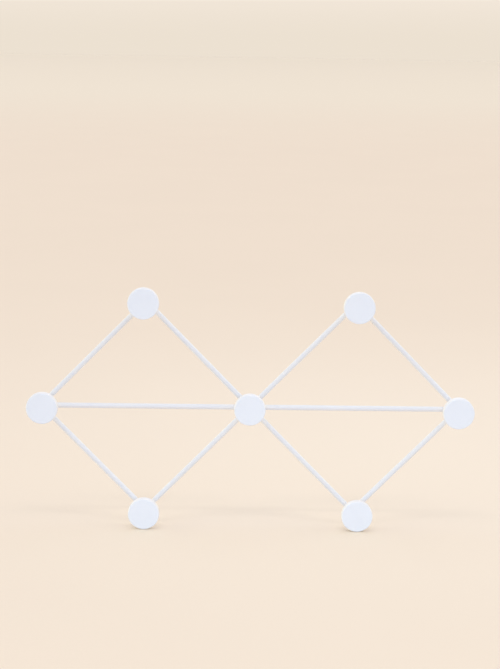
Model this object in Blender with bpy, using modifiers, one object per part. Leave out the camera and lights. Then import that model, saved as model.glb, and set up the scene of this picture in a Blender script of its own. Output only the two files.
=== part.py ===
"""Wall coat rack: seven round knobs on pegs at the corners of two diamonds of welded rod.

Metres, with +Z up. The wall is the plane Y = 0 and the knobs stand towards -Y. The origin is on the
wall, behind the point where the six inner rods meet.
"""

import math

import bmesh
import bpy
from mathutils import Vector

# Frame
DIAMOND_WIDTH = 0.236
DIAMOND_HEIGHT = 0.240
ROD_DIAMETER = 0.006

# Knobs
PROJECTION = 0.029
KNOB_DIAMETER = 0.0354
KNOB_THICKNESS = 0.009
KNOB_FRONT_ROUND = 0.0015
KNOB_BACK_ROUND = 0.0008

# Pegs
PEG_DIAMETER = 0.008
PEG_CHAMFER = 0.0004
SPIGOT_DIAMETER = 0.005
SPIGOT_LENGTH = 0.004

# Hanging tabs
TAB_THICKNESS = 0.002
TAB_TOP_RADIUS = 0.009
TAB_RIM = 0.002
ENTRY_HOLE_DIAMETER = 0.0072
SLOT_WIDTH = 0.0038
SLOT_TRAVEL = 0.005

# Clearances
SEAT_GAP = 0.0003

# Points of a turned profile that lie this close after the turn are one
MERGE_DISTANCE = 0.00001

# Corners of the diamonds, across and up, as shares of half a diamond's width and height
CORNER_SHARES = {
    "left": (-2, 0),
    "upper_left": (-1, 1),
    "lower_left": (-1, -1),
    "centre": (0, 0),
    "upper_right": (1, 1),
    "lower_right": (1, -1),
    "right": (2, 0),
}

# The pegs are welded on by hand, so each stands a little off the point where its rods meet: across
# and up, as shares of a peg's diameter
PEG_DRIFT_SHARES = {
    "left": (0.38, 0.08),
    "upper_left": (-0.28, 0.0),
    "lower_left": (-0.12, 0.02),
    "centre": (-0.07, 0.16),
    "upper_right": (0.2, -0.28),
    "lower_right": (0.54, -0.05),
    "right": (-0.28, -0.06),
}

RODS = {
    "rod_left_upper_outer": ("left", "upper_left"),
    "rod_left_upper_inner": ("upper_left", "centre"),
    "rod_left_middle": ("left", "centre"),
    "rod_left_lower_outer": ("left", "lower_left"),
    "rod_left_lower_inner": ("lower_left", "centre"),
    "rod_right_upper_inner": ("centre", "upper_right"),
    "rod_right_upper_outer": ("upper_right", "right"),
    "rod_right_middle": ("centre", "right"),
    "rod_right_lower_inner": ("centre", "lower_right"),
    "rod_right_lower_outer": ("lower_right", "right"),
}

# The rack hangs by tabs behind these corners
TAB_CORNERS = ("upper_left", "upper_right")

# Coats, each a colour and a roughness
KNOB_COAT = ((0.86, 0.88, 0.92), 0.42)
FRAME_COAT = ((0.87, 0.86, 0.85), 0.36)
TAB_COAT = ((0.84, 0.84, 0.84), 0.45)

# Facets
KNOB_SIDES = 48
PEG_SIDES = 24
ROD_SIDES = 24
CLEARANCE_SIDES = 48
ROUND_STEPS = 4
ARC_STEPS = 16
SHARP_ANGLE = math.radians(35)

# The rods rest on the tabs, which lie against the wall
ROD_RADIUS = ROD_DIAMETER / 2
ROD_TO_WALL = TAB_THICKNESS + SEAT_GAP + ROD_RADIUS
PEG_RADIUS = PEG_DIAMETER / 2

# Local +Z of a turned piece or a tab points from the wall into the room
FACING_ROOM = (math.pi / 2, 0, 0)


def clear_scene():
    for obj in list(bpy.data.objects):
        bpy.data.objects.remove(obj)


def new_collection(name):
    collection = bpy.data.collections.new(name)
    bpy.context.scene.collection.children.link(collection)
    return collection


def coating(name, colour, roughness):
    """Powder coat, which hides the steel, so the finish isn't metallic."""
    material = bpy.data.materials.new(name)
    material.use_nodes = True
    shader = material.node_tree.nodes["Principled BSDF"]
    shader.inputs["Base Color"].default_value = (*colour, 1)
    shader.inputs["Roughness"].default_value = roughness
    shader.inputs["Metallic"].default_value = 0
    return material


def corner_point(corner):
    """Where the rods of this corner meet, seen on the wall plane."""
    across, up = CORNER_SHARES[corner]
    return Vector((across * DIAMOND_WIDTH / 2, 0, up * DIAMOND_HEIGHT / 2))


def peg_drift(corner):
    across, up = PEG_DRIFT_SHARES[corner]
    return Vector((across * PEG_DIAMETER, 0, up * PEG_DIAMETER))


def quarter_round(centre_radius, centre_height, radius, start_angle):
    """Points of a quarter circle in a profile, from start_angle on clockwise."""
    points = []
    for step in range(ROUND_STEPS + 1):
        angle = start_angle - step / ROUND_STEPS * math.pi / 2
        points.append(
            (centre_radius + radius * math.cos(angle), centre_height + radius * math.sin(angle))
        )
    return points


def knob_profile():
    """Down the outside from the middle of the face, then up the blind bore for the peg's spigot."""
    radius = KNOB_DIAMETER / 2
    bore_radius = SPIGOT_DIAMETER / 2 + SEAT_GAP
    bore_depth = SPIGOT_LENGTH + SEAT_GAP
    front_height = KNOB_THICKNESS - KNOB_FRONT_ROUND
    return (
        [(0, KNOB_THICKNESS)]
        + quarter_round(radius - KNOB_FRONT_ROUND, front_height, KNOB_FRONT_ROUND, math.pi / 2)
        + quarter_round(radius - KNOB_BACK_ROUND, KNOB_BACK_ROUND, KNOB_BACK_ROUND, 0)
        + [(bore_radius, 0), (bore_radius, bore_depth), (0, bore_depth)]
    )


def peg_body_length(corner):
    """From the wall, or from the hanging tab, to the back of the knob."""
    length = PROJECTION - KNOB_THICKNESS - SEAT_GAP
    if corner in TAB_CORNERS:
        length -= TAB_THICKNESS + SEAT_GAP
    return length


def peg_profile(body_length):
    """Down the spigot, the shoulder and the side of the peg to its chamfered rear end."""
    spigot_radius = SPIGOT_DIAMETER / 2
    tip = body_length + SEAT_GAP + SPIGOT_LENGTH
    return [
        (0, tip),
        (spigot_radius - PEG_CHAMFER, tip),
        (spigot_radius, tip - PEG_CHAMFER),
        (spigot_radius, body_length),
        (PEG_RADIUS, body_length),
        (PEG_RADIUS, PEG_CHAMFER),
        (PEG_RADIUS - PEG_CHAMFER, 0),
        (0, 0),
    ]


def turned(name, profile, sides, material, collection):
    """A profile of (radius, height) points turned about the local Z axis."""
    mesh = bpy.data.meshes.new(name)
    points = [(radius, 0, height) for radius, height in profile]
    mesh.from_pydata(points, [(i, i + 1) for i in range(len(points) - 1)], [])
    obj = bpy.data.objects.new(name, mesh)
    collection.objects.link(obj)
    screw = obj.modifiers.new("turn", "SCREW")
    screw.axis = "Z"
    screw.steps = sides
    screw.render_steps = sides
    screw.use_merge_vertices = True
    screw.merge_threshold = MERGE_DISTANCE
    apply_modifiers(obj)
    obj.data.materials.append(material)
    return obj


def apply_modifiers(obj):
    """Keeps the evaluated mesh in place of the modifiers, shaded smooth between its sharp edges."""
    graph = bpy.context.evaluated_depsgraph_get()
    mesh = bpy.data.meshes.new_from_object(obj.evaluated_get(graph))
    obj.modifiers.clear()
    obj.data = mesh
    mesh.shade_smooth()
    mesh.set_sharp_from_angle(angle=SHARP_ANGLE)


def build_peg(corner, empty, material, collection):
    peg = turned(
        f"peg_{corner}", peg_profile(peg_body_length(corner)), PEG_SIDES, material, collection
    )
    rear = TAB_THICKNESS + SEAT_GAP if corner in TAB_CORNERS else 0
    peg.parent = empty
    peg.location = peg_drift(corner) - Vector((0, rear, 0))
    peg.rotation_euler = FACING_ROOM
    return peg


def build_knob(corner, peg, material, collection):
    """The knob seats on the shoulder of its peg, with the spigot in its bore."""
    knob = turned(f"knob_{corner}", knob_profile(), KNOB_SIDES, material, collection)
    knob.parent = peg
    knob.location.z = peg_body_length(corner) + SEAT_GAP
    return knob


def peg_clearance(corner, collection):
    """The cutter that copes the rods' ends to the peg of this corner."""
    bpy.ops.mesh.primitive_cylinder_add(
        vertices=CLEARANCE_SIDES, radius=PEG_RADIUS + SEAT_GAP, depth=2 * PROJECTION
    )
    cutter = bpy.context.object
    cutter.name = f"clearance_{corner}"
    cutter.location = corner_point(corner) + peg_drift(corner)
    cutter.rotation_euler = FACING_ROOM
    cutter.hide_render = True
    cutter.display_type = "WIRE"
    for other in list(cutter.users_collection):
        other.objects.unlink(cutter)
    collection.objects.link(cutter)
    return cutter


def rod_directions(corner):
    """The unit directions in which rods leave this corner, by rod name."""
    directions = {}
    for name, (start, end) in RODS.items():
        if corner in (start, end):
            other = end if corner == start else start
            directions[name] = (corner_point(other) - corner_point(corner)).normalized()
    return directions


def mitre_planes(name, corner):
    """(point, outward normal) of the planes between this rod and its neighbours at the corner."""
    directions = rod_directions(corner)
    own = directions[name]
    planes = []
    for side in (-1, 1):
        turns = {
            other: side * signed_angle(own, direction)
            for other, direction in directions.items()
            if other != name
        }
        near = [other for other, turn in turns.items() if 0 < turn < math.pi]
        if not near:
            continue
        neighbour = directions[min(near, key=turns.get)]
        normal = (neighbour - own).normalized()
        planes.append((corner_point(corner) - normal * SEAT_GAP / 2, normal))
    return planes


def signed_angle(first, second):
    """The turn from first to second in the XZ plane, from -pi to pi."""
    return math.atan2(
        first.x * second.z - first.z * second.x, first.x * second.x + first.z * second.z
    )


def rod_end(corner, direction):
    """The point of a rod's centre line that is nearest to the peg."""
    return corner_point(corner) + direction * peg_drift(corner).dot(direction)


def build_rod(name, cutters, material, collection):
    """A round rod between two corners, mitred to its neighbours and coped to the pegs."""
    direction = rod_directions(RODS[name][0])[name]
    start, end = (rod_end(corner, direction) for corner in RODS[name])
    along = end - start
    mesh = bpy.data.meshes.new(name)
    rod = bpy.data.objects.new(name, mesh)
    collection.objects.link(rod)
    rod.location = (start + end) / 2 - Vector((0, ROD_TO_WALL, 0))
    rod.rotation_euler = (0, math.atan2(along.x, along.z), 0)
    bpy.context.view_layer.update()
    into_rod = rod.matrix_world.inverted()
    shape = bmesh.new()
    bmesh.ops.create_cone(
        shape,
        cap_ends=True,
        segments=ROD_SIDES,
        radius1=ROD_RADIUS,
        radius2=ROD_RADIUS,
        depth=along.length,
    )
    for corner in RODS[name]:
        for point, normal in mitre_planes(name, corner):
            cut_off(shape, into_rod @ point, into_rod.to_3x3() @ normal)
    shape.to_mesh(mesh)
    shape.free()
    mesh.shade_smooth()
    mesh.set_sharp_from_angle(angle=SHARP_ANGLE)
    mesh.materials.append(material)
    for corner in RODS[name]:
        cope = rod.modifiers.new(f"cope_{corner}", "BOOLEAN")
        cope.operation = "DIFFERENCE"
        cope.object = cutters[corner]
    return rod


def cut_off(shape, point, normal):
    """Removes what lies beyond the plane and closes the cut."""
    geometry = shape.verts[:] + shape.edges[:] + shape.faces[:]
    cut = bmesh.ops.bisect_plane(
        shape, geom=geometry, plane_co=point, plane_no=normal, clear_outer=True
    )
    edges = [item for item in cut["geom_cut"] if isinstance(item, bmesh.types.BMEdge)]
    bmesh.ops.contextual_create(shape, geom=edges)


def arc(centre_y, radius, start_angle, end_angle):
    """Points of an arc about (0, centre_y)."""
    points = []
    for step in range(ARC_STEPS + 1):
        angle = start_angle + (end_angle - start_angle) * step / ARC_STEPS
        points.append((radius * math.cos(angle), centre_y + radius * math.sin(angle)))
    return points


def slot_end_drop():
    """From the corner down to the seated screw, whose head has to pass below the pegs."""
    lowest_drift = min(peg_drift(corner).z for corner in TAB_CORNERS)
    return PEG_RADIUS - lowest_drift + ENTRY_HOLE_DIAMETER / 2 + SEAT_GAP


def tab_outline():
    """Two arcs, a wide one round the corner and a narrow one round the entry hole, joined by the
    straight lines that touch both."""
    drop = slot_end_drop() + SLOT_TRAVEL
    tip_radius = ENTRY_HOLE_DIAMETER / 2 + TAB_RIM
    lean = math.asin((TAB_TOP_RADIUS - tip_radius) / drop)
    top = arc(0, TAB_TOP_RADIUS, -lean, math.pi + lean)
    tip = arc(-drop, tip_radius, math.pi + lean, math.tau - lean)
    return top + tip


def keyhole_outline():
    """The round hole that a screw's head enters, and the slot above it that the shank runs up."""
    entry_radius = ENTRY_HOLE_DIAMETER / 2
    slot_radius = SLOT_WIDTH / 2
    mouth = math.acos(slot_radius / entry_radius)
    slot = arc(-slot_end_drop(), slot_radius, 0, math.pi)
    entry = arc(-slot_end_drop() - SLOT_TRAVEL, entry_radius, math.pi - mouth, math.tau + mouth)
    return slot + entry


def build_tab(corner, empty, material, collection):
    """A stamped tab flat against the wall, with the rods and the peg of its corner welded on."""
    name = f"keyhole_hanger_{corner}"
    curve = bpy.data.curves.new(name, "CURVE")
    curve.dimensions = "2D"
    curve.fill_mode = "BOTH"
    curve.extrude = TAB_THICKNESS / 2
    for outline in (tab_outline(), keyhole_outline()):
        spline = curve.splines.new("POLY")
        spline.points.add(len(outline) - 1)
        for point, (across, up) in zip(spline.points, outline):
            point.co = (across, up, 0, 1)
        spline.use_cyclic_u = True
    curve.materials.append(material)
    tab = bpy.data.objects.new(name, curve)
    collection.objects.link(tab)
    tab.parent = empty
    tab.location.y = -TAB_THICKNESS / 2
    tab.rotation_euler = FACING_ROOM
    return tab


def build_rack():
    clear_scene()
    rack = new_collection("wall_coat_rack")
    cutters = new_collection("cutters")
    knob_coat = coating("knob_coat", *KNOB_COAT)
    frame_coat = coating("frame_coat", *FRAME_COAT)
    tab_coat = coating("tab_coat", *TAB_COAT)
    clearances = {}
    for corner in CORNER_SHARES:
        empty = bpy.data.objects.new(f"corner_{corner}", None)
        rack.objects.link(empty)
        empty.location = corner_point(corner)
        peg = build_peg(corner, empty, frame_coat, rack)
        build_knob(corner, peg, knob_coat, rack)
        if corner in TAB_CORNERS:
            build_tab(corner, empty, tab_coat, rack)
        clearances[corner] = peg_clearance(corner, cutters)
    for name in RODS:
        build_rod(name, clearances, frame_coat, rack)


build_rack()
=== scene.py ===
"""Looks of a white wall coat rack: turned knobs, coped rods, welds, hanging tabs and powder coat.

Laid out as an add-on. Every surface is worked out with numpy in the frame's own metres, with +Z
up and the wall in the plane Y = 0, so the knobs stand towards -Y.
"""

import math

import bpy
import numpy as np
from bpy.props import FloatProperty, FloatVectorProperty, IntProperty, PointerProperty
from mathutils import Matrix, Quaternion, Vector


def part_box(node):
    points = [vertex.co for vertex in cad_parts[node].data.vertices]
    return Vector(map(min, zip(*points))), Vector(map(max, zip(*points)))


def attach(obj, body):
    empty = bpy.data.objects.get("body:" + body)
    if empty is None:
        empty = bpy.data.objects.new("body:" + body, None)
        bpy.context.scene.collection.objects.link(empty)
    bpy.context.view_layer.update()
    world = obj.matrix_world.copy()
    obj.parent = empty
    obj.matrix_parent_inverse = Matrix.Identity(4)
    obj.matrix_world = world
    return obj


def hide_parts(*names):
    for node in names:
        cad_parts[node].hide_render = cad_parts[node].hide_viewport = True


bl_info = {
    "name": "Wall Coat Rack",
    "version": (1, 0, 0),
    "blender": (4, 5, 0),
    "location": "3D View > Sidebar > Coat Rack",
    "description": "Turned knobs, coped rods, welds, hanging tabs and powder coat of a wall rack",
    "category": "Add Mesh",
}

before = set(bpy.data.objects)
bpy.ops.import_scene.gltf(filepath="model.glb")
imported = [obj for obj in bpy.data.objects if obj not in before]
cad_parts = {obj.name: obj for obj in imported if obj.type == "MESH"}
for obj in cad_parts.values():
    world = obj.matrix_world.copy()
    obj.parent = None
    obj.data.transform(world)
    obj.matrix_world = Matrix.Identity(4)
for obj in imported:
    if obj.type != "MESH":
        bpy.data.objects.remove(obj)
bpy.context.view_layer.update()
BODY = "root"

# Points round a ring, rings or rows of a surface, and points of a rounded edge
WELD_SIDES, WELD_ROWS = 240, 33
TAB_SIDES, TAB_FACE_ROWS, TAB_EDGE_POINTS = 192, 5, 6
TACK_SIDES, TACK_RINGS = 24, 15
ROD_END_RINGS, ROD_SIDE_RINGS = 6, 8
FACE_RINGS, STEP_RINGS = 8, 9
KNOB_EDGE_POINTS, KNOB_BACK_POINTS, PEG_EDGE_POINTS = 17, 9, 7
FLOOR_POINTS = 33

# Innermost ring of a flat end, and the first and last ring on the flat of a knob's face, as shares
# of their radius
POLE_SHARE, ROD_POLE_SHARE = 0.1, 0.08
FACE_FROM, FACE_TO = 0.02, 0.98

# Width of the step round a knob's face as a share of its edge round, and the round and the last
# ring of a peg's wall end as shares of its radius
STEP_SHARE = 0.45
PEG_ROUND_SHARE, PEG_END_SHARE = 0.1, 0.8

# A weld's inner wall as a share of the peg's radius, how far it wraps over the rods as a share of
# its blend, and how often its place on each ray is halved
WELD_WALL_SHARE, WELD_WRAP_SHARE = 0.8, 0.6
HALVINGS = 36

# Ripples round a weld, their unevenness and how often it comes round, and their depth as a share
# of the weld's fullness
RIPPLES, UNEVENNESS, UNEVEN_TURNS, RIPPLE_DEPTH = 11, 2, 3, 0.15

# A weld sinks from this share of its reach, over the next share of it and by this power of its
# height, to a depth that is a share of its fullness
SINK_FROM, SINK_OVER, SINK_POWER, SINK_DEPTH = 0.5, 0.35, 6, 1.8

# A tack bead's place and half length as shares of the tab's top round, and its offset from the
# rod's middle as a share of the rod's radius
TACK_PLACE, TACK_HALF_LENGTH, TACK_OFFSET = 0.65, 0.24, 0.6

# Sizes of the keyhole's entry and of the metal round it
ENTRY_DIAMETER, TAB_RIM = 0.0072, 0.002

# The first two keep a division away from nought, and edges above the angle are shaded sharp
LEAST_SINE, SHORTEST_EDGE = 1e-9, 0.00001
SHARP_ANGLE = math.radians(40)

# The coat starts to thin where the surface bends by the first amount per metre, and is at its
# thinnest from the second on
THIN_SPAN = (300, 800)

# Roughness of each slot's coat, and how much of the coat is gone where it is thinnest. The drift
# is how far the roughness varies to both sides
COATS = {"knob_coat": (0.40, 0.3), "frame_coat": (0.33, 0.4), "tab_coat": (0.42, 0.8)}
ROUGHNESS_DRIFT = 0.05

# Widths of a coat's patterns in bumps of its peel, and the height of the swell in that of the peel
SWELL_WIDTH, CLOUD_WIDTH, SPECK_SPACING = 6, 60, 4
SWELL_HEIGHT = 2.2

# A coat's tones as shares of its own colour, and how much of the grain and the specks shows
COAT_DARK, COAT_LIGHT, GRAIN_TONE = 0.99, 1.007, 0.95
SPECK_TONE = (0.78, 0.76, 0.73)
THIN_TONE = (0.80, 0.80, 0.81)
GRAIN_SHARE, SPECK_SHARE = 0.12, 0.55

# Spans over which a pattern comes or goes: noise and cloud by their own value, specks by the draw
# of their cell and the distance from its middle, the painted light on the knobs' sides by the Y of
# the normal
NOISE_SPAN, CLOUD_SPAN = (0.3, 0.7), (0.35, 0.65)
SPECK_DRAW, SPECK_SPAN = (0.86, 0.9), (0.03, 0.07)
TURN_SPAN = (-0.98, -0.7)

# The paper's clouds and fibres, its tones as shares of its own colour, and its surface
PAPER_CLOUD_WIDTH, FIBRE_WIDTH, FIBRE_HEIGHT = 0.4, 0.002, 0.00008
PAPER_DARK, PAPER_LIGHT, FIBRE_TONE, FIBRE_SHARE = 0.994, 1.004, 0.975, 0.5
PAPER_ROUGHNESS, PAPER_GLOSS = 0.9, 0.2

# Spans of a direction's X, Y or Z in which the room's light goes over from one side to the next
RIGHT_SPAN, ABOVE_SPAN, HORIZON_SPAN = (-0.5, 0.5), (0.25, 0.8), (0, 0.1)
BEHIND_SPAN, BEFORE_SPAN, LOFT_SPAN = (0.1, 0.8), (-0.8, -0.1), (-0.15, 0.35)

# Radius of the low light itself
FILL_RADIUS = 0.3

# Each rod runs between two corners of the linked diamonds
RODS = {
    "rod_left_upper_outer": ("left", "upper_left"),
    "rod_left_upper_inner": ("upper_left", "centre"),
    "rod_left_middle": ("left", "centre"),
    "rod_left_lower_outer": ("left", "lower_left"),
    "rod_left_lower_inner": ("lower_left", "centre"),
    "rod_right_upper_inner": ("centre", "upper_right"),
    "rod_right_upper_outer": ("upper_right", "right"),
    "rod_right_middle": ("centre", "right"),
    "rod_right_lower_inner": ("centre", "lower_right"),
    "rod_right_lower_outer": ("lower_right", "right"),
}
TAB_CORNERS = ("upper_left", "upper_right")


def node_box(node):
    """Lowest and highest corner of a frame node as two arrays."""
    low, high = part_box(node)
    return np.array(low), np.array(high)


# The frame's nodes give the places and the main sizes
TAB_LOW, TAB_HIGH = node_box("keyhole_hanger_upper_right")
ROD_LOW, ROD_HIGH = node_box("rod_left_middle")
PEG_LOW, PEG_HIGH = node_box("peg_centre")
KNOB_LOW, KNOB_HIGH = node_box("knob_centre")

TAB_TOP_RADIUS = (TAB_HIGH[0] - TAB_LOW[0]) / 2
HALF_WIDTH = (TAB_HIGH[0] + TAB_LOW[0]) / 2
HALF_HEIGHT = TAB_HIGH[2] - TAB_TOP_RADIUS
ROD_RADIUS = (ROD_HIGH[2] - ROD_LOW[2]) / 2
ROD_DEPTH = (ROD_HIGH[1] + ROD_LOW[1]) / 2
PEG_RADIUS = (PEG_HIGH[2] - PEG_LOW[2]) / 2
KNOB_RADIUS = (KNOB_HIGH[2] - KNOB_LOW[2]) / 2
SEAT_GAP = TAB_LOW[1] - (ROD_DEPTH + ROD_RADIUS)

# Corners on the wall plane, across and up
CORNERS = {
    "left": np.array([-2 * HALF_WIDTH, 0]),
    "upper_left": np.array([-HALF_WIDTH, HALF_HEIGHT]),
    "lower_left": np.array([-HALF_WIDTH, -HALF_HEIGHT]),
    "centre": np.array([0, 0]),
    "upper_right": np.array([HALF_WIDTH, HALF_HEIGHT]),
    "lower_right": np.array([HALF_WIDTH, -HALF_HEIGHT]),
    "right": np.array([2 * HALF_WIDTH, 0]),
}

# What the colour settings share
COLOUR = {"subtype": "COLOR", "min": 0, "max": 1}


class CoatRackShapes(bpy.types.PropertyGroup):
    """Sizes of the rack's visible forms."""

    edge_round: FloatProperty(
        name="Knob edge",
        description="Radius of the round between a knob's face and its side",
        default=0.0015,
        unit="LENGTH",
    )
    back_round: FloatProperty(
        name="Knob back edge",
        description="Radius of the round between a knob's side and its back",
        default=0.0008,
        unit="LENGTH",
    )
    face_dish: FloatProperty(
        name="Face dish",
        description="How far the coat on the face lies below the fuller coat at its edge",
        default=0.00005,
        unit="LENGTH",
    )
    spigot_diameter: FloatProperty(
        name="Spigot",
        description="Diameter of the peg's end inside the knob",
        default=0.005,
        unit="LENGTH",
    )
    spigot_length: FloatProperty(
        name="Spigot length",
        description="Length of the peg's end inside the knob",
        default=0.004,
        unit="LENGTH",
    )
    weld_reach: FloatProperty(
        name="Weld reach",
        description="How far the welds reach from a peg's axis",
        default=0.0095,
        unit="LENGTH",
    )
    weld_blend: FloatProperty(
        name="Weld blend",
        description="Width of the hollow between peg and rod that a weld fills",
        default=0.0022,
        unit="LENGTH",
    )
    weld_full: FloatProperty(
        name="Weld fullness",
        description="How far a weld stands proud of the bars",
        default=0.00022,
        unit="LENGTH",
    )
    tack_radius: FloatProperty(
        name="Tack bead",
        description="Radius of the beads between rods and tabs",
        default=0.0007,
        unit="LENGTH",
    )
    entry_diameter: FloatProperty(
        name="Keyhole entry",
        description="Diameter of the round hole that a screw's head enters",
        default=ENTRY_DIAMETER,
        unit="LENGTH",
    )
    slot_width: FloatProperty(
        name="Keyhole slot",
        description="Width of the slot that a screw's shank runs up",
        default=0.0038,
        unit="LENGTH",
    )
    slot_travel: FloatProperty(
        name="Keyhole travel",
        description="From the middle of the entry up to the middle of the slot's round end",
        default=0.005,
        unit="LENGTH",
    )
    tab_rim: FloatProperty(
        name="Tab rim",
        description="Metal left round the keyhole's entry",
        default=TAB_RIM,
        unit="LENGTH",
    )
    tab_drop: FloatProperty(
        name="Keyhole drop",
        description="From the corner of the rods down to the middle of the keyhole's entry",
        default=float(TAB_HIGH[2] - TAB_LOW[2] - TAB_TOP_RADIUS) - ENTRY_DIAMETER / 2 - TAB_RIM,
        unit="LENGTH",
    )
    tab_edge: FloatProperty(
        name="Tab edge",
        description="Radius of the round that the coat gives the tab's edges",
        default=0.0003,
        unit="LENGTH",
    )
    sides: IntProperty(
        name="Sides",
        description="Points round a knob, peg or rod",
        default=128,
        min=16,
    )


class CoatRackCoats(bpy.types.PropertyGroup):
    """Colours and grain of the powder coat."""

    # Partly painted light: the faces' cool tint is in part the coat's own white and in part
    # painted cool light from in front
    knob_colour: FloatVectorProperty(
        name="Knobs",
        description="Cool white of the knobs' coat",
        default=(0.85, 0.90, 0.97),
        **COLOUR,
    )
    # Painted light: sides and rounded edges turned from the front get this warmer white in place
    # of the face's cooler one; it stands for how the light falls, not for a fuller coat
    knob_painted_side_light: FloatVectorProperty(
        name="Knob edges",
        description="White of the fuller coat on the knobs' rounded edges and sides",
        default=(0.85, 0.867, 0.909),
        **COLOUR,
    )
    frame_colour: FloatVectorProperty(
        name="Frame",
        description="White of the coat on the rods, pegs and welds",
        default=(0.817, 0.832, 0.863),
        **COLOUR,
    )
    tab_colour: FloatVectorProperty(
        name="Tabs",
        description="White of the coat on the hanging tabs",
        default=(0.84, 0.855, 0.88),
        **COLOUR,
    )
    peel_size: FloatProperty(
        name="Peel size",
        description="Width of one bump of the coat's orange peel",
        default=0.0011,
        unit="LENGTH",
    )
    peel_depth: FloatProperty(
        name="Peel depth",
        description="Height of the coat's orange peel",
        default=0.000025,
        unit="LENGTH",
    )


class CoatRackStage(bpy.types.PropertyGroup):
    """Floor, light and camera."""

    floor_colour: FloatVectorProperty(
        name="Floor",
        description="Cream of the paper floor",
        default=(0.865, 0.773, 0.662),
        **COLOUR,
    )
    # Painted light: the paper far off is painted this paler cream, standing in for how brightly
    # the distant backdrop is lit
    floor_far_painted_light: FloatVectorProperty(
        name="Floor far off",
        description="Paler cream that the paper fades to far off",
        default=(0.874, 0.812, 0.698),
        **COLOUR,
    )
    floor_fade: FloatVectorProperty(
        name="Floor fade",
        description="Distances from the rack at which the fade starts and ends",
        default=(5.5, 17),
        subtype="TRANSLATION",
        size=2,
    )
    floor_reach: FloatProperty(
        name="Floor reach",
        description="How far the floor goes from the rack to each side",
        default=60,
        unit="LENGTH",
    )
    room_top: FloatVectorProperty(
        name="Light from above",
        description="Soft light from above and in front",
        default=(0.387, 0.357, 0.319),
        **COLOUR,
    )
    room_loft: FloatVectorProperty(
        name="Light from above behind",
        description="Soft light from above and behind",
        default=(0.268, 0.245, 0.302),
        **COLOUR,
    )
    room_front: FloatVectorProperty(
        name="Light from in front",
        description="Soft light from in front of the rack",
        default=(0.094, 0.181, 0.396),
        **COLOUR,
    )
    room_left: FloatVectorProperty(
        name="Light from the left",
        description="Soft light from the left",
        default=(0.993, 0.998, 0.689),
        **COLOUR,
    )
    room_right: FloatVectorProperty(
        name="Light from the right",
        description="Soft light from the right",
        default=(0.841, 0.799, 0.573),
        **COLOUR,
    )
    room_back: FloatVectorProperty(
        name="Light from behind",
        description="Soft light from behind the rack",
        default=(0.493, 0.445, 0.42),
        **COLOUR,
    )
    room_haze: FloatVectorProperty(
        name="Horizon",
        description="Colour in which the floor fades out all round",
        default=(0.361, 0.323, 0.275),
        **COLOUR,
    )
    room_strength: FloatProperty(
        name="Room light",
        description="Strength of the soft light from all round",
        default=2.33,
        min=0,
    )
    key_colour: FloatVectorProperty(
        name="Key",
        description="Colour of the main light",
        default=(1.0, 0.94, 0.88),
        **COLOUR,
    )
    key_strength: FloatProperty(
        name="Key light",
        description="Strength of the main light where it falls on the rack",
        default=0.42,
        min=0,
    )
    key_elevation: FloatProperty(
        name="Key height",
        description="How high the main light stands above the horizon",
        default=math.radians(63.5),
        subtype="ANGLE",
    )
    key_distance: FloatProperty(
        name="Key distance",
        description="How far off the main light is",
        default=100,
        unit="LENGTH",
    )
    key_size: FloatVectorProperty(
        name="Key size",
        description="Long and narrow side of the main light, which is a level strip",
        default=(70, 9),
        subtype="TRANSLATION",
        size=2,
    )
    pool_colour: FloatVectorProperty(
        name="Pool",
        description="Colour of the light behind the rack",
        default=(0.61, 0.84, 1.0),
        **COLOUR,
    )
    pool_power: FloatProperty(
        name="Pool light",
        description="Power of the light behind the rack",
        default=1.3,
        min=0,
        unit="POWER",
    )
    pool_place: FloatVectorProperty(
        name="Pool place",
        description="Where the light behind the rack hangs",
        default=(0.27, 0.38, 0.8),
        subtype="TRANSLATION",
    )
    pool_size: FloatProperty(
        name="Pool size",
        description="Diameter of the light behind the rack",
        default=0.8,
        unit="LENGTH",
    )
    fill_colour: FloatVectorProperty(
        name="Fill",
        description="Colour of the low light in front",
        default=(0.824, 0.941, 1.0),
        **COLOUR,
    )
    fill_power: FloatProperty(
        name="Fill light",
        description="Power of the low light in front",
        default=40.8,
        min=0,
        unit="POWER",
    )
    fill_place: FloatVectorProperty(
        name="Fill place",
        description="Where the low light stands",
        default=(0.0, -2.4, 0.25),
        subtype="TRANSLATION",
    )
    fill_aim: FloatVectorProperty(
        name="Fill aim",
        description="Point that the low light shines at",
        default=(0.12, 0.0, -0.6),
        subtype="TRANSLATION",
    )
    fill_spread: FloatProperty(
        name="Fill spread",
        description="Width of the low light's cone, which fades towards its edge",
        default=math.radians(52),
        subtype="ANGLE",
    )
    camera_place: FloatVectorProperty(
        name="Camera place",
        description="Where the camera stands",
        default=(-0.0309, -1.8854, 0.4069),
        subtype="TRANSLATION",
    )
    camera_angles: FloatVectorProperty(
        name="Camera angles",
        description="How far the camera looks down, is turned to the left and leans to its left",
        default=(math.radians(9.763), math.radians(-0.902), math.radians(0.823)),
        subtype="EULER",
    )
    lens: FloatProperty(
        name="Lens",
        description="Focal length of the camera, for a sensor 36 mm wide",
        default=91.48,
        unit="CAMERA",
    )


def grid_faces(rows, columns):
    """Quads of a grid whose rows are closed rings. Point (i, j) has the index i * columns + j, and
    its quad runs over (i, j), (i, j + 1), (i + 1, j + 1) and (i + 1, j), with j + 1 wrapped."""
    i, j = np.meshgrid(np.arange(rows - 1), np.arange(columns), indexing="ij")
    here, below = i * columns, (i + 1) * columns
    after = (j + 1) % columns
    return np.stack([here + j, here + after, below + after, below + j], axis=-1).reshape(-1, 4)


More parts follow.
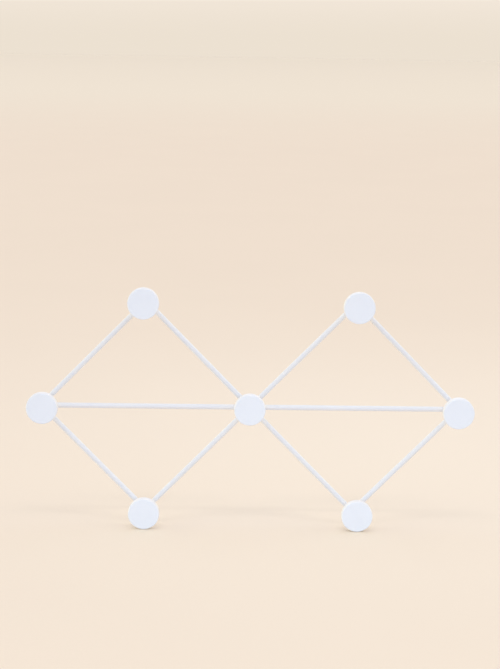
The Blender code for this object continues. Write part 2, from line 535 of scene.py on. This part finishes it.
def closed_shell(rings):
    """Points, quads and triangles of a shell from an array of rings (rows, columns, 3) whose first
    and last row each lie round a pole, which is the mean of that row and closes it with a fan."""
    rows, columns = rings.shape[:2]
    poles = [rings[:1].mean(axis=1), rings[-1:].mean(axis=1)]
    points = np.concatenate([rings.reshape(-1, 3), *poles])
    j = np.arange(columns)
    after = (j + 1) % columns
    last = (rows - 1) * columns
    start_fan = np.stack([np.full(columns, rows * columns), after, j], axis=-1)
    end_fan = np.stack([np.full(columns, rows * columns + 1), last + j, last + after], axis=-1)
    return points, grid_faces(rows, columns), np.concatenate([start_fan, end_fan])


def closed_ring(loops):
    """Points and quads, and no triangles, of a ring-shaped shell from an array of loops (rows,
    columns, 3). The last row joins on to the first."""
    rows, columns = loops.shape[:2]
    quads = grid_faces(rows + 1, columns) % (rows * columns)
    return loops.reshape(-1, 3), quads, np.empty((0, 3), int)


def signed_volume(points, quads, triangles):
    """Sum over the faces of the tetrahedra that they make with the origin."""
    fans = np.concatenate([quads[:, [0, 1, 2]], quads[:, [0, 2, 3]], triangles])
    a, b, c = (points[fans[:, k]] for k in range(3))
    return np.einsum("ij,ij->i", a, np.cross(b, c)).sum() / 6


def joined(shells):
    """Several shells as one, each turned so that its faces point outwards."""
    points, quads, triangles = [], [], []
    count = 0
    for shell_points, shell_quads, shell_triangles in shells:
        if signed_volume(shell_points, shell_quads, shell_triangles) < 0:
            shell_quads = shell_quads[:, ::-1]
            shell_triangles = shell_triangles[:, ::-1]
        points.append(shell_points)
        quads.append(shell_quads + count)
        triangles.append(shell_triangles + count)
        count += len(shell_points)
    return np.concatenate(points), np.concatenate(quads), np.concatenate(triangles)


def store_bend(mesh):
    """Keeps how sharply the surface bends at each point, as the inverse of a length. It is the
    mean over the edges from that point of the other end's drop below the point's tangent plane,
    divided by the edge's length squared."""
    count = len(mesh.vertices)
    points, normals = np.empty(3 * count), np.empty(3 * count)
    ends = np.empty(2 * len(mesh.edges), int)
    mesh.vertices.foreach_get("co", points)
    mesh.vertex_normals.foreach_get("vector", normals)
    mesh.edges.foreach_get("vertices", ends)
    points, normals = points.reshape(-1, 3), normals.reshape(-1, 3)
    start, end = ends.reshape(-1, 2).T
    way = points[end] - points[start]
    square = np.maximum(np.einsum("ij,ij->i", way, way), SHORTEST_EDGE**2)
    drop_start = -np.einsum("ij,ij->i", way, normals[start]) / square
    drop_end = np.einsum("ij,ij->i", way, normals[end]) / square
    total = np.bincount(start, drop_start, count) + np.bincount(end, drop_end, count)
    edges_there = np.bincount(ends, minlength=count)
    bend = mesh.attributes.new("bend", "FLOAT", "POINT")
    bend.data.foreach_set("value", total / np.maximum(edges_there, 1))


def new_object(name, data):
    """An object in the scene, at the origin."""
    made = bpy.data.objects.new(name, data)
    bpy.context.scene.collection.objects.link(made)
    return made


def add_piece(name, shells, slot, nodes=()):
    """A piece of the rack in the frame's own place, with its slot's coat. It stands for the nodes
    and rides on the body."""
    points, quads, triangles = joined(shells)
    mesh = bpy.data.meshes.new(name)
    mesh.from_pydata(points.tolist(), [], quads.tolist() + triangles.tolist())
    mesh.materials.append(coat(slot))
    mesh.shade_smooth()
    mesh.set_sharp_from_angle(angle=SHARP_ANGLE)
    store_bend(mesh)
    piece = new_object(name, mesh)
    if nodes:
        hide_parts(*nodes)
    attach(piece, BODY)


def unit(vector):
    """The vector at a length of one."""
    return vector / np.linalg.norm(vector)


def turn_between(first, second):
    """Signed angle from first to second."""
    cross = first[0] * second[1] - first[1] * second[0]
    return math.atan2(cross, float(first @ second))


def arc(start, end, count):
    """Cosine and sine of each of count evenly spaced angles from start to end."""
    angles = np.linspace(start, end, count)
    return np.stack([np.cos(angles), np.sin(angles)], axis=1)


def around(count):
    """Evenly spaced angles once round, without the last, which is the first again."""
    return np.arange(count) / count * math.tau


def standing(flat, depth):
    """Points (x, depth, z) from points (x, z) on the wall plane and their depths."""
    depth = np.broadcast_to(depth, flat.shape[:-1])
    return np.stack([flat[..., 0], depth, flat[..., 1]], axis=-1)


def turned(profile, axis, sides):
    """A profile of (radius, depth) rows, with its poles left out, carried round an axis along Y:
    the point at angle a is (axis x + radius cos a, depth, axis z + radius sin a)."""
    angles = around(sides)
    radius, depth = profile[:, :1], profile[:, 1:]
    across = axis[0] + radius * np.cos(angles)
    up = axis[1] + radius * np.sin(angles)
    return closed_shell(standing(np.stack([across, up], axis=-1), depth))


def axis_of(node):
    """Where a turned node's axis crosses the wall plane, across and up."""
    low, high = node_box(node)
    return (low + high)[[0, 2]] / 2


def knob_profile(shapes):
    """From the middle of the face outwards and round to the bore for the spigot. The face is flat
    and rises to the fuller coat at its edge by a smooth step, 3 s^2 - 2 s^3 at share s of the
    step's width. Quarter circles round both edges."""
    front, back = KNOB_LOW[1], KNOB_HIGH[1]
    edge, heel = shapes.edge_round, shapes.back_round
    rim = KNOB_RADIUS - edge
    step_width = STEP_SHARE * edge
    share = np.linspace(0, 1, STEP_RINGS)
    rise = share**2 * (3 - 2 * share)
    depth = front + shapes.face_dish * (1 - rise)
    step = np.stack([rim - step_width * (1 - share), depth], axis=1)
    radii = np.linspace(FACE_FROM, FACE_TO, FACE_RINGS) * (rim - step_width)
    flat = np.stack([radii, np.full(FACE_RINGS, front + shapes.face_dish)], axis=1)
    quarter = math.pi / 2
    front_round = np.array([rim, front + edge]) + edge * arc(-quarter, 0, KNOB_EDGE_POINTS)
    heel_middle = np.array([KNOB_RADIUS - heel, back - heel])
    back_round = heel_middle + heel * arc(0, quarter, KNOB_BACK_POINTS)
    bore = shapes.spigot_diameter / 2 + SEAT_GAP
    bottom = back - shapes.spigot_length - SEAT_GAP
    seat = np.array(
        [
            (KNOB_RADIUS - 2 * heel, back),
            (PEG_RADIUS, back),
            (bore, back),
            (bore, bottom),
            (POLE_SHARE * bore, bottom),
        ]
    )
    return np.concatenate([flat, step[:-1], front_round, back_round, seat])


def peg_profile(node, shapes):
    """From the middle of the wall end out and up the side to the shoulder and the spigot. A
    quarter circle rounds the wall end's edge, and a bevel as wide takes off the spigot's."""
    low, high = node_box(node)
    radius = (high - low)[0] / 2
    spigot = shapes.spigot_diameter / 2
    round_size = PEG_ROUND_SHARE * radius
    shoulder = low[1] + shapes.spigot_length + SEAT_GAP
    wall_end = np.array([(POLE_SHARE * radius, high[1]), (PEG_END_SHARE * radius, high[1])])
    round_middle = np.array([radius - round_size, high[1] - round_size])
    wall_round = round_middle + round_size * arc(math.pi / 2, 0, PEG_EDGE_POINTS)
    front_end = np.array(
        [
            (radius, shoulder),
            (spigot, shoulder),
            (spigot, low[1] + round_size),
            (spigot - round_size, low[1]),
            (POLE_SHARE * spigot, low[1]),
        ]
    )
    return np.concatenate([wall_end, wall_round, front_end])


def directions_at(corner):
    """Unit directions in which the rods leave a corner, by rod name."""
    leaving = {}
    for name, (start, end) in RODS.items():
        if corner in (start, end):
            other = end if corner == start else start
            leaving[name] = unit(CORNERS[other] - CORNERS[corner])
    return leaving


def rod_start(name, corner, sideways):
    """How far from the corner a rod begins, for each sideways offset from its centre line. It is
    the farthest of two things: the round of the peg's clearance, which is the root of radius
    squared less the offset from the peg squared, and the slanted mitre planes midway to its
    neighbours."""
    leaving = directions_at(corner)
    own = leaving.pop(name)
    normal = np.array([-own[1], own[0]])
    drift = axis_of(f"peg_{corner}") - CORNERS[corner]
    clearance = PEG_RADIUS + SEAT_GAP
    beside = sideways - drift @ normal
    starts = [drift @ own + np.sqrt(np.clip(clearance**2 - beside**2, 0, None))]
    for side in (-1, 1):
        turns = {other: side * turn_between(own, way) for other, way in leaving.items()}
        near = [other for other, turn in turns.items() if 0 < turn < math.pi]
        if near:
            away = unit(leaving[min(near, key=turns.get)] - own)
            starts.append((SEAT_GAP / 2 + sideways * (normal @ away)) / -(own @ away))
    return np.max(starts, axis=0)


def rod_shell(name, shapes):
    """A round bar from corner to corner. At angle a and radius r its point is the corner plus
    r sin a sideways, r cos a in depth and t along, where t runs from one coped end to the other.
    The rings run in over one end, along the side and in over the other."""
    start, end = RODS[name]
    span = CORNERS[end] - CORNERS[start]
    length = np.linalg.norm(span)
    along = span / length
    normal = np.array([-along[1], along[0]])
    angles = around(shapes.sides)
    outward = np.linspace(ROD_POLE_SHARE, 1, ROD_END_RINGS)
    radii = np.concatenate([outward, np.ones(ROD_SIDE_RINGS), outward[::-1]])
    radii = ROD_RADIUS * radii[:, None]
    on_side = np.linspace(0, 1, ROD_SIDE_RINGS + 2)[1:-1]
    share = np.concatenate([np.zeros(ROD_END_RINGS), on_side, np.ones(ROD_END_RINGS)])[:, None]
    sideways = radii * np.sin(angles)
    near = rod_start(name, start, sideways)
    far = length - rod_start(name, end, -sideways)
    travel = near + (far - near) * share
    flat = CORNERS[start] + travel[..., None] * along + sideways[..., None] * normal
    return closed_shell(standing(flat, ROD_DEPTH + radii * np.cos(angles)))


def smooth_least(first, second, width):
    """The lesser of two distances, rounded off where they are closer than width: their least
    minus a quarter of width times the squared share by which they overlap."""
    share = np.clip(1 - np.abs(first - second) / width, 0, 1)
    return np.minimum(first, second) - width * share**2 / 4


def weld_distance(points, corner, shapes):
    """Distance of points to the bare joint at a corner: the peg's cylinder and each rod's half
    line, which starts with a half ball, run together by smooth_least."""
    flat = points[..., [0, 2]]
    from_corner = flat - CORNERS[corner]
    across = points[..., 1] - ROD_DEPTH
    distance = np.linalg.norm(flat - axis_of(f"peg_{corner}"), axis=-1) - PEG_RADIUS
    for way in directions_at(corner).values():
        travel = np.clip(from_corner @ way, 0, None)
        beside = from_corner - travel[..., None] * way
        rod = np.sqrt((beside**2).sum(axis=-1) + across**2) - ROD_RADIUS
        distance = smooth_least(distance, rod, shapes.weld_blend)
    return distance


def weld_shell(corner, shapes):
    """The coated weld round a peg, a ring of rays from the peg's axis. On the ray at angle a and
    depth d the surface lies where weld_distance equals the weld's fullness, which ripples along
    the bead. The fullness falls below nought towards the weld's rims, so the surface sinks into
    the bars there. The place on each ray is found by halving an interval, for all the rays at
    once, and an inner wall closes the ring."""
    axis = axis_of(f"peg_{corner}")
    angles = around(WELD_SIDES)
    ways = np.stack([np.cos(angles), np.sin(angles)], axis=-1)
    height = np.linspace(-1, 1, WELD_ROWS)[:, None]
    half_height = ROD_RADIUS + WELD_WRAP_SHARE * shapes.weld_blend
    depth = ROD_DEPTH + half_height * np.sin(height * math.pi / 2)

    def on_rays(radius):
        """The axis plus radius along each ray, at the ray's depth."""
        return standing(axis + radius[..., None] * ways, depth)

    inner = np.full((WELD_ROWS, WELD_SIDES), WELD_WALL_SHARE * PEG_RADIUS)
    low, high = inner, np.full_like(inner, shapes.weld_reach)
    uneven = RIPPLES * angles + UNEVENNESS * np.sin(UNEVEN_TURNS * angles)
    ripple = np.sin(uneven) * np.cos(math.tau * height)
    for _ in range(HALVINGS):
        middle = (low + high) / 2
        points = on_rays(middle)
        out = np.linalg.norm(points[..., [0, 2]] - CORNERS[corner], axis=-1) / shapes.weld_reach
        rims = np.clip((out - SINK_FROM) / SINK_OVER, 0, 1) ** 2 + height**SINK_POWER
        fullness = shapes.weld_full * (1 + RIPPLE_DEPTH * ripple - SINK_DEPTH * rims)
        inside = weld_distance(points, corner, shapes) < fullness
        low, high = np.where(inside, middle, low), np.where(inside, high, middle)
    wall = on_rays(inner)
    return closed_ring(np.concatenate([on_rays(low), wall[-1:], wall[:1]]))


def tack_shells(corner, shapes):
    """Short beads in the hollow between each rod and the tab, on both sides of the rod. Each is a
    spindle: at share s of its length the radius is that of its middle times the root of
    1 - s^2."""
    share = np.sin(np.linspace(-1, 1, TACK_RINGS + 2)[1:-1] * math.pi / 2)[:, None]
    angles = around(TACK_SIDES)
    radius = shapes.tack_radius * np.sqrt(1 - share**2)
    depth = TAB_LOW[1] - SEAT_GAP + radius * np.cos(angles)
    shells = []
    for way in directions_at(corner).values():
        normal = np.array([-way[1], way[0]])
        middle = CORNERS[corner] + way * TACK_PLACE * TAB_TOP_RADIUS
        for side in (-1, 1):
            sideways = side * TACK_OFFSET * ROD_RADIUS + radius * np.sin(angles)
            along = TACK_HALF_LENGTH * TAB_TOP_RADIUS * np.broadcast_to(share, sideways.shape)
            flat = middle + along[..., None] * way + sideways[..., None] * normal
            shells.append(closed_shell(standing(flat, depth)))
    return shells


def keyhole_reach(angles, shapes):
    """From the middle of the entry hole to the keyhole's edge, by the angle from straight up: the
    entry's radius, or in the slot the side line, or the round at its top where the ray gets that
    far."""
    entry, half, travel = shapes.entry_diameter / 2, shapes.slot_width / 2, shapes.slot_travel
    sine, cosine = np.abs(np.sin(angles)), np.cos(angles)
    side = half / np.maximum(sine, LEAST_SINE)
    top = travel * cosine + np.sqrt(np.clip(half**2 - (travel * sine) ** 2, 0, None))
    slot = np.where(side * cosine >= travel, top, side)
    in_slot = (np.abs(angles) < math.asin(half / entry)) & (cosine > 0)
    return np.where(in_slot, np.maximum(slot, entry), entry)


def tab_reach(angles, shapes):
    """From the middle of the entry hole to the tab's outline, by the angle from straight up: the
    round tip's radius, the straight line that touches both rounds, or the far side of the top
    round."""
    tip = shapes.entry_diameter / 2 + shapes.tab_rim
    drop = shapes.tab_drop
    lean = math.asin((TAB_TOP_RADIUS - tip) / drop)
    sine, cosine = np.abs(np.sin(angles)), np.cos(angles)
    top = drop * cosine + np.sqrt(np.clip(TAB_TOP_RADIUS**2 - (drop * sine) ** 2, 0, None))
    line = tip / np.maximum(sine * math.cos(lean) - cosine * math.sin(lean), LEAST_SINE)
    touch_across = TAB_TOP_RADIUS * math.cos(lean)
    touch_top = math.atan2(touch_across, drop - TAB_TOP_RADIUS * math.sin(lean))
    touch_tip = math.pi / 2 + lean
    turn = np.abs(angles)
    return np.where(turn < touch_top, top, np.where(turn < touch_tip, line, tip))


def tab_shell(corner, shapes):
    """A stamped plate with a keyhole. On the ray at angle a from the middle of the entry hole a
    point is at (1 - w) times keyhole_reach plus w times tab_reach plus a step s, at depth d. The
    rows of w, s and d go once round the plate's section, with quarter circles at its four
    edges. The keyhole's own corners each get a ray."""
    edge = shapes.tab_edge
    front, back = TAB_LOW[1], TAB_HIGH[1]
    mouth = math.asin(shapes.slot_width / shapes.entry_diameter)
    bend = math.atan2(shapes.slot_width / 2, shapes.slot_travel)
    even = np.linspace(-math.pi, math.pi, TAB_SIDES + 1)[:-1]
    angles = np.unique(np.concatenate([even, [-mouth, -bend, bend, mouth]]))

    def edge_rows(share, step, depth, start):
        """Rows of a quarter circle of the edge's radius round a step and a depth."""
        turn = edge * arc(start, start - math.pi / 2, TAB_EDGE_POINTS)
        shares = np.full(TAB_EDGE_POINTS, share)
        return np.column_stack([shares, step + turn[:, 0], depth + turn[:, 1]])

    def face_rows(shares, depth):
        """Rows across the plate at one depth."""
        return np.column_stack([shares, np.zeros(TAB_FACE_ROWS), np.full(TAB_FACE_ROWS, depth)])

    across = np.linspace(0, 1, TAB_FACE_ROWS + 2)[1:-1]
    rows = np.concatenate(
        [
            edge_rows(0, edge, front + edge, -math.pi / 2),
            edge_rows(0, edge, back - edge, math.pi),
            face_rows(across, back),
            edge_rows(1, -edge, back - edge, math.pi / 2),
            edge_rows(1, -edge, front + edge, 0),
            face_rows(across[::-1], front),
        ]
    )
    share, step, depth = (rows[:, k : k + 1] for k in range(3))
    inner, outer = keyhole_reach(angles, shapes), tab_reach(angles, shapes)
    reach = (1 - share) * inner + share * outer + step
    x = CORNERS[corner][0] + reach * np.sin(angles)
    z = CORNERS[corner][1] - shapes.tab_drop + reach * np.cos(angles)
    return closed_ring(standing(np.stack([x, z], axis=-1), depth))


def add_node(tree, kind, inputs=None, **settings):
    """A node with its settings. An input is a value, or the output of another node."""
    made = tree.nodes.new(kind)
    for name, value in settings.items():
        setattr(made, name, value)
    for socket, value in (inputs or {}).items():
        if isinstance(value, bpy.types.NodeSocket):
            tree.links.new(value, made.inputs[socket])
        else:
            made.inputs[socket].default_value = value
    return made


def noise(tree, place, width, detail):
    """Soft noise whose bumps are about width across."""
    inputs = {"Vector": place, "Scale": 1 / width, "Detail": detail}
    return add_node(tree, "ShaderNodeTexNoise", inputs).outputs["Fac"]


def spread(tree, value, span, to=(0, 1)):
    """The value's span carried over to another by a smooth step, and held at its ends."""
    ends = zip(("From Min", "From Max", "To Min", "To Max"), (*span, *to))
    inputs = {"Value": value, **dict(ends)}
    made = add_node(tree, "ShaderNodeMapRange", inputs, interpolation_type="SMOOTHSTEP")
    return made.outputs["Result"]


def multiplied(tree, first, second):
    """One value times the other."""
    made = add_node(tree, "ShaderNodeMath", {0: first, 1: second}, operation="MULTIPLY")
    return made.outputs[0]


def blend_colours(tree, share, first, second, blend="MIX"):
    """First colour going over to the second, or to the two blended as named, by share. The mix
    node's colours are its inputs 6 and 7 and its output 2."""
    made = add_node(tree, "ShaderNodeMix", {0: share}, data_type="RGBA", blend_type=blend)
    for socket, colour in ((6, first), (7, second)):
        if isinstance(colour, bpy.types.NodeSocket):
            tree.links.new(colour, made.inputs[socket])
        else:
            made.inputs[socket].default_value = (*colour, 1)
    return made.outputs[2]


def new_material(name):
    """A material with its node tree, its shader and the place on the piece."""
    material = bpy.data.materials.new(name)
    material.use_nodes = True
    tree = material.node_tree
    place = add_node(tree, "ShaderNodeTexCoord").outputs["Object"]
    return material, tree, tree.nodes["Principled BSDF"], place


def raise_bumps(tree, shader, distance, height):
    """Bumps on the shader's surface that are distance high where the height is one."""
    bump = add_node(tree, "ShaderNodeBump", {"Distance": distance, "Height": height})
    tree.links.new(bump.outputs["Normal"], shader.inputs["Normal"])


def powder_coat(name, colour, coats, roughness, thin_share, painted_side_light):
    """Baked powder coat: orange peel with a longer swell under it, a faint drift in whiteness, a
    few specks of dust baked in, and a thinner, greyer coat along sharp edges. Where a painted side
    light is given, the coat goes over to it on all that is turned away from the front: painted
    light, a warmer white on sides and edges than on the face, standing in for cool light from in
    front that falls on the face only."""
    material, tree, shader, place = new_material(name)
    peel = noise(tree, place, coats.peel_size, detail=1.5)
    swell = noise(tree, place, SWELL_WIDTH * coats.peel_size, detail=1)
    cloud = noise(tree, place, CLOUD_WIDTH * coats.peel_size, detail=3)
    tone = np.array(colour)
    light = np.minimum(tone * COAT_LIGHT, 1)
    drift = blend_colours(tree, spread(tree, cloud, CLOUD_SPAN), tone * COAT_DARK, light)
    crests = spread(tree, peel, NOISE_SPAN, (0, GRAIN_SHARE))
    grain = blend_colours(tree, crests, drift, tone * GRAIN_TONE)
    scale = 1 / (SPECK_SPACING * coats.peel_size)
    cells = add_node(tree, "ShaderNodeTexVoronoi", {"Vector": place, "Scale": scale}).outputs
    chosen = spread(tree, cells["Color"], SPECK_DRAW)
    dot = spread(tree, cells["Distance"], SPECK_SPAN, (SPECK_SHARE, 0))
    dusty = blend_colours(tree, multiplied(tree, chosen, dot), grain, tone * SPECK_TONE)
    bend = add_node(tree, "ShaderNodeAttribute", attribute_name="bend").outputs["Fac"]
    thin = spread(tree, bend, THIN_SPAN, (0, thin_share))
    final = blend_colours(tree, multiplied(tree, thin, swell), dusty, tone * THIN_TONE)
    # Painted light: what turns away from the front is painted a warmer white than the face, in
    # place of the cool front light that falls on the face only
    if painted_side_light is not None:
        normal = add_node(tree, "ShaderNodeTexCoord").outputs["Normal"]
        facing = add_node(tree, "ShaderNodeSeparateXYZ", {"Vector": normal}).outputs["Y"]
        away = spread(tree, facing, TURN_SPAN)
        painted_light_gain = blend_colours(tree, away, (1, 1, 1), np.array(painted_side_light) / tone)
        final = blend_colours(tree, 1, final, painted_light_gain, "MULTIPLY")
    tree.links.new(final, shader.inputs["Base Color"])
    rough_span = (roughness - ROUGHNESS_DRIFT, roughness + ROUGHNESS_DRIFT)
    tree.links.new(spread(tree, swell, NOISE_SPAN, rough_span), shader.inputs["Roughness"])
    heights = {0: swell, 1: SWELL_HEIGHT, 2: peel}
    relief = add_node(tree, "ShaderNodeMath", heights, operation="MULTIPLY_ADD").outputs[0]
    raise_bumps(tree, shader, coats.peel_depth, relief)
    return material


def paper(name, stage):
    """Seamless paper: a faint cloudiness and fine fibres. Far from the rack it is painted paler:
    painted light, standing in for the brighter lit backdrop.
    """
    material, tree, shader, place = new_material(name)
    cloud = noise(tree, place, PAPER_CLOUD_WIDTH, detail=3)
    fibre = noise(tree, place, FIBRE_WIDTH, detail=4)
    tone = np.array(stage.floor_colour)
    clouded = spread(tree, cloud, NOISE_SPAN)
    drift = blend_colours(tree, clouded, tone * PAPER_DARK, tone * PAPER_LIGHT)
    fibres = spread(tree, fibre, NOISE_SPAN, (0, FIBRE_SHARE))
    near = blend_colours(tree, fibres, drift, tone * FIBRE_TONE)
    away = add_node(tree, "ShaderNodeVectorMath", {0: place}, operation="LENGTH").outputs["Value"]
    # Painted light: the paper goes over to a paler cream far off
    faded = spread(tree, away, stage.floor_fade)
    final = blend_colours(tree, faded, near, stage.floor_far_painted_light)
    tree.links.new(final, shader.inputs["Base Color"])
    raise_bumps(tree, shader, FIBRE_HEIGHT, fibre)
    shader.inputs["Roughness"].default_value = PAPER_ROUGHNESS
    shader.inputs["Specular IOR Level"].default_value = PAPER_GLOSS
    return material


def coat(slot):
    """The slot's powder coat, made on first use."""
    coats = bpy.context.scene.coat_rack_coats
    part = slot.removesuffix("_coat")
    name = f"{part}_powder_coat"
    colour = getattr(coats, f"{part}_colour")
    # Only the knobs get painted light: a warmer white on what turns away from the front
    painted_side_light = coats.knob_painted_side_light if part == "knob" else None
    made = bpy.data.materials.get(name)
    return made or powder_coat(name, colour, coats, *COATS[slot], painted_side_light)


class COATRACK_OT_knobs(bpy.types.Operator):
    """Turn the seven knobs"""

    bl_idname = "coatrack.knobs"
    bl_label = "Knobs"

    def execute(self, context):
        shapes = context.scene.coat_rack_shapes
        for corner in CORNERS:
            name = f"knob_{corner}"
            shell = turned(knob_profile(shapes), axis_of(name), shapes.sides)
            add_piece(f"turned_{name}", [shell], "knob_coat", [name])
        return {"FINISHED"}


class COATRACK_OT_pegs(bpy.types.Operator):
    """Turn the seven pegs"""

    bl_idname = "coatrack.pegs"
    bl_label = "Pegs"

    def execute(self, context):
        shapes = context.scene.coat_rack_shapes
        for corner in CORNERS:
            name = f"peg_{corner}"
            shell = turned(peg_profile(name, shapes), axis_of(name), shapes.sides)
            add_piece(f"turned_{name}", [shell], "frame_coat", [name])
        return {"FINISHED"}


class COATRACK_OT_rods(bpy.types.Operator):
    """Lay the ten coped rods"""

    bl_idname = "coatrack.rods"
    bl_label = "Rods"

    def execute(self, context):
        shapes = context.scene.coat_rack_shapes
        for name in RODS:
            shell = rod_shell(name, shapes)
            add_piece(f"coped_{name}", [shell], "frame_coat", [name])
        return {"FINISHED"}


class COATRACK_OT_welds(bpy.types.Operator):
    """Weld the rods to the pegs and the tabs"""

    bl_idname = "coatrack.welds"
    bl_label = "Welds"

    def execute(self, context):
        shapes = context.scene.coat_rack_shapes
        for corner in CORNERS:
            shells = [weld_shell(corner, shapes)]
            if corner in TAB_CORNERS:
                shells += tack_shells(corner, shapes)
            add_piece(f"weld_{corner}", shells, "frame_coat")
        return {"FINISHED"}


class COATRACK_OT_tabs(bpy.types.Operator):
    """Stamp the two keyhole hanging tabs"""

    bl_idname = "coatrack.tabs"
    bl_label = "Hanging tabs"

    def execute(self, context):
        shapes = context.scene.coat_rack_shapes
        for corner in TAB_CORNERS:
            name = f"keyhole_hanger_{corner}"
            shell = tab_shell(corner, shapes)
            add_piece(f"stamped_{name}", [shell], "tab_coat", [name])
        return {"FINISHED"}


def floor_sheet(stage):
    """Points and quads of a square grid in the plane that touches the undersides of the two lowest
    knobs: its height is the left one's plus the distance to the right of it times the slope
    between them."""
    left_low, left_high = node_box("knob_lower_left")
    right_low, right_high = node_box("knob_lower_right")
    left, right = (left_low + left_high)[0] / 2, (right_low + right_high)[0] / 2
    slope = (right_low[2] - left_low[2]) / (right - left)
    line = np.linspace(-1, 1, FLOOR_POINTS) * stage.floor_reach
    x, y = np.meshgrid(line, line)
    z = left_low[2] + (x - left) * slope
    cells = np.arange(FLOOR_POINTS - 1)
    i, j = np.meshgrid(cells, cells, indexing="ij")
    here = i * FLOOR_POINTS + j
    below = here + FLOOR_POINTS
    quads = np.stack([here, here + 1, below + 1, below], axis=-1).reshape(-1, 4)
    return np.stack([x, y, z], axis=-1).reshape(-1, 3), quads


def room_light(stage):
    """Soft light of a studio by its direction: from above, in front, the sides and behind, each
    going over smoothly to the next, with the horizon's colour low down all round."""
    world = bpy.data.worlds.new("room")
    world.use_nodes = True
    tree = world.node_tree
    direction = add_node(tree, "ShaderNodeTexCoord").outputs["Generated"]
    parts = add_node(tree, "ShaderNodeSeparateXYZ", {"Vector": direction}).outputs
    right = spread(tree, parts["X"], RIGHT_SPAN)
    behind = spread(tree, parts["Y"], BEHIND_SPAN)
    before = spread(tree, parts["Y"], BEFORE_SPAN, (1, 0))
    above = spread(tree, parts["Z"], ABOVE_SPAN)
    aloft = spread(tree, parts["Y"], LOFT_SPAN)
    low = spread(tree, parts["Z"], HORIZON_SPAN, (1, 0))
    colour = blend_colours(tree, right, stage.room_left, stage.room_right)
    colour = blend_colours(tree, behind, colour, stage.room_back)
    colour = blend_colours(tree, before, colour, stage.room_front)
    high = blend_colours(tree, aloft, stage.room_top, stage.room_loft)
    colour = blend_colours(tree, above, colour, high)
    colour = blend_colours(tree, low, colour, stage.room_haze)
    background = tree.nodes["Background"]
    tree.links.new(colour, background.inputs["Color"])
    background.inputs["Strength"].default_value = stage.room_strength
    return world


def add_lamp(name, kind, colour, power, place):
    """A light in its place. It lights the scene and isn't seen itself."""
    light = bpy.data.lights.new(name, kind)
    light.color = colour
    light.energy = power
    lamp = new_object(name, light)
    lamp.location = place
    lamp.visible_camera = False
    return lamp


def key_light(stage):
    """A level strip of light, far off in front and above. It draws the shadows on the floor out
    sideways and leaves them narrow from front to back."""
    elevation, distance = stage.key_elevation, stage.key_distance
    power = stage.key_strength * math.pi * distance**2
    place = Vector((0, -math.cos(elevation), math.sin(elevation))) * distance
    lamp = add_lamp("key", "AREA", stage.key_colour, power, place)
    lamp.data.shape = "RECTANGLE"
    lamp.data.size, lamp.data.size_y = stage.key_size
    lamp.rotation_euler = (math.pi / 2 - elevation, 0, 0)


def pool_light(stage):
    """A round soft light just behind the rack that shines straight down."""
    lamp = add_lamp("pool", "AREA", stage.pool_colour, stage.pool_power, stage.pool_place)
    lamp.data.shape = "DISK"
    lamp.data.size = stage.pool_size


def fill_light(stage):
    """A soft cone of light from low in front, which is strongest on the lower knobs."""
    lamp = add_lamp("fill", "SPOT", stage.fill_colour, stage.fill_power, stage.fill_place)
    lamp.data.spot_size = stage.fill_spread
    lamp.data.spot_blend = 1
    lamp.data.shadow_soft_size = FILL_RADIUS
    aim = Vector(stage.fill_aim) - Vector(stage.fill_place)
    lamp.rotation_euler = aim.to_track_quat("-Z", "Y").to_euler()


def add_camera(stage):
    """The camera in its place. From straight down it is rolled, tipped up and turned."""
    camera = new_object("camera", bpy.data.cameras.new("camera"))
    camera.data.lens = stage.lens
    camera.location = stage.camera_place
    camera.rotation_mode = "QUATERNION"
    pitch, turn, roll = stage.camera_angles
    camera.rotation_quaternion = (
        Quaternion((0, 0, 1), turn)
        @ Quaternion((1, 0, 0), math.pi / 2 - pitch)
        @ Quaternion((0, 0, 1), roll)
    )
    return camera


class COATRACK_OT_stage(bpy.types.Operator):
    """Set up the floor, the light and the camera"""

    bl_idname = "coatrack.stage"
    bl_label = "Stage"

    def execute(self, context):
        stage = context.scene.coat_rack_stage
        points, quads = floor_sheet(stage)
        mesh = bpy.data.meshes.new("floor")
        mesh.from_pydata(points.tolist(), [], quads.tolist())
        mesh.materials.append(paper("cream_paper", stage))
        floor = new_object("floor", mesh)
        key_light(stage)
        pool_light(stage)
        fill_light(stage)
        context.scene.world = room_light(stage)
        context.scene.camera = add_camera(stage)
        context.scene.view_settings.view_transform = "Standard"
        return {"FINISHED"}


class COATRACK_PT_panel(bpy.types.Panel):
    """Lists the steps that dress the rack, and their sizes and colours."""

    bl_label = "Coat Rack"
    bl_space_type = "VIEW_3D"
    bl_region_type = "UI"
    bl_category = "Coat Rack"

    def draw(self, context):
        for step in STEPS:
            self.layout.operator(step.bl_idname)
        for group in GROUPS:
            settings = getattr(context.scene, group)
            for name in settings.__annotations__:
                self.layout.prop(settings, name)


GROUPS = {
    "coat_rack_shapes": CoatRackShapes,
    "coat_rack_coats": CoatRackCoats,
    "coat_rack_stage": CoatRackStage,
}
STEPS = (
    COATRACK_OT_rods,
    COATRACK_OT_pegs,
    COATRACK_OT_knobs,
    COATRACK_OT_welds,
    COATRACK_OT_tabs,
    COATRACK_OT_stage,
)


def register():
    """Registers the classes and gives the scene its settings."""
    for cls in (*GROUPS.values(), *STEPS, COATRACK_PT_panel):
        bpy.utils.register_class(cls)
    for name, group in GROUPS.items():
        setattr(bpy.types.Scene, name, PointerProperty(type=group))


def unregister():
    """Takes away what register has added, in the opposite order."""
    for name in reversed(GROUPS):
        delattr(bpy.types.Scene, name)
    for cls in (COATRACK_PT_panel, *reversed(STEPS), *reversed(GROUPS.values())):
        bpy.utils.unregister_class(cls)


def main():
    """Dresses the rack and sets its stage."""
    register()
    bpy.ops.coatrack.rods()
    bpy.ops.coatrack.pegs()
    bpy.ops.coatrack.knobs()
    bpy.ops.coatrack.welds()
    bpy.ops.coatrack.tabs()
    bpy.ops.coatrack.stage()


if __name__ == "__main__":
    main()
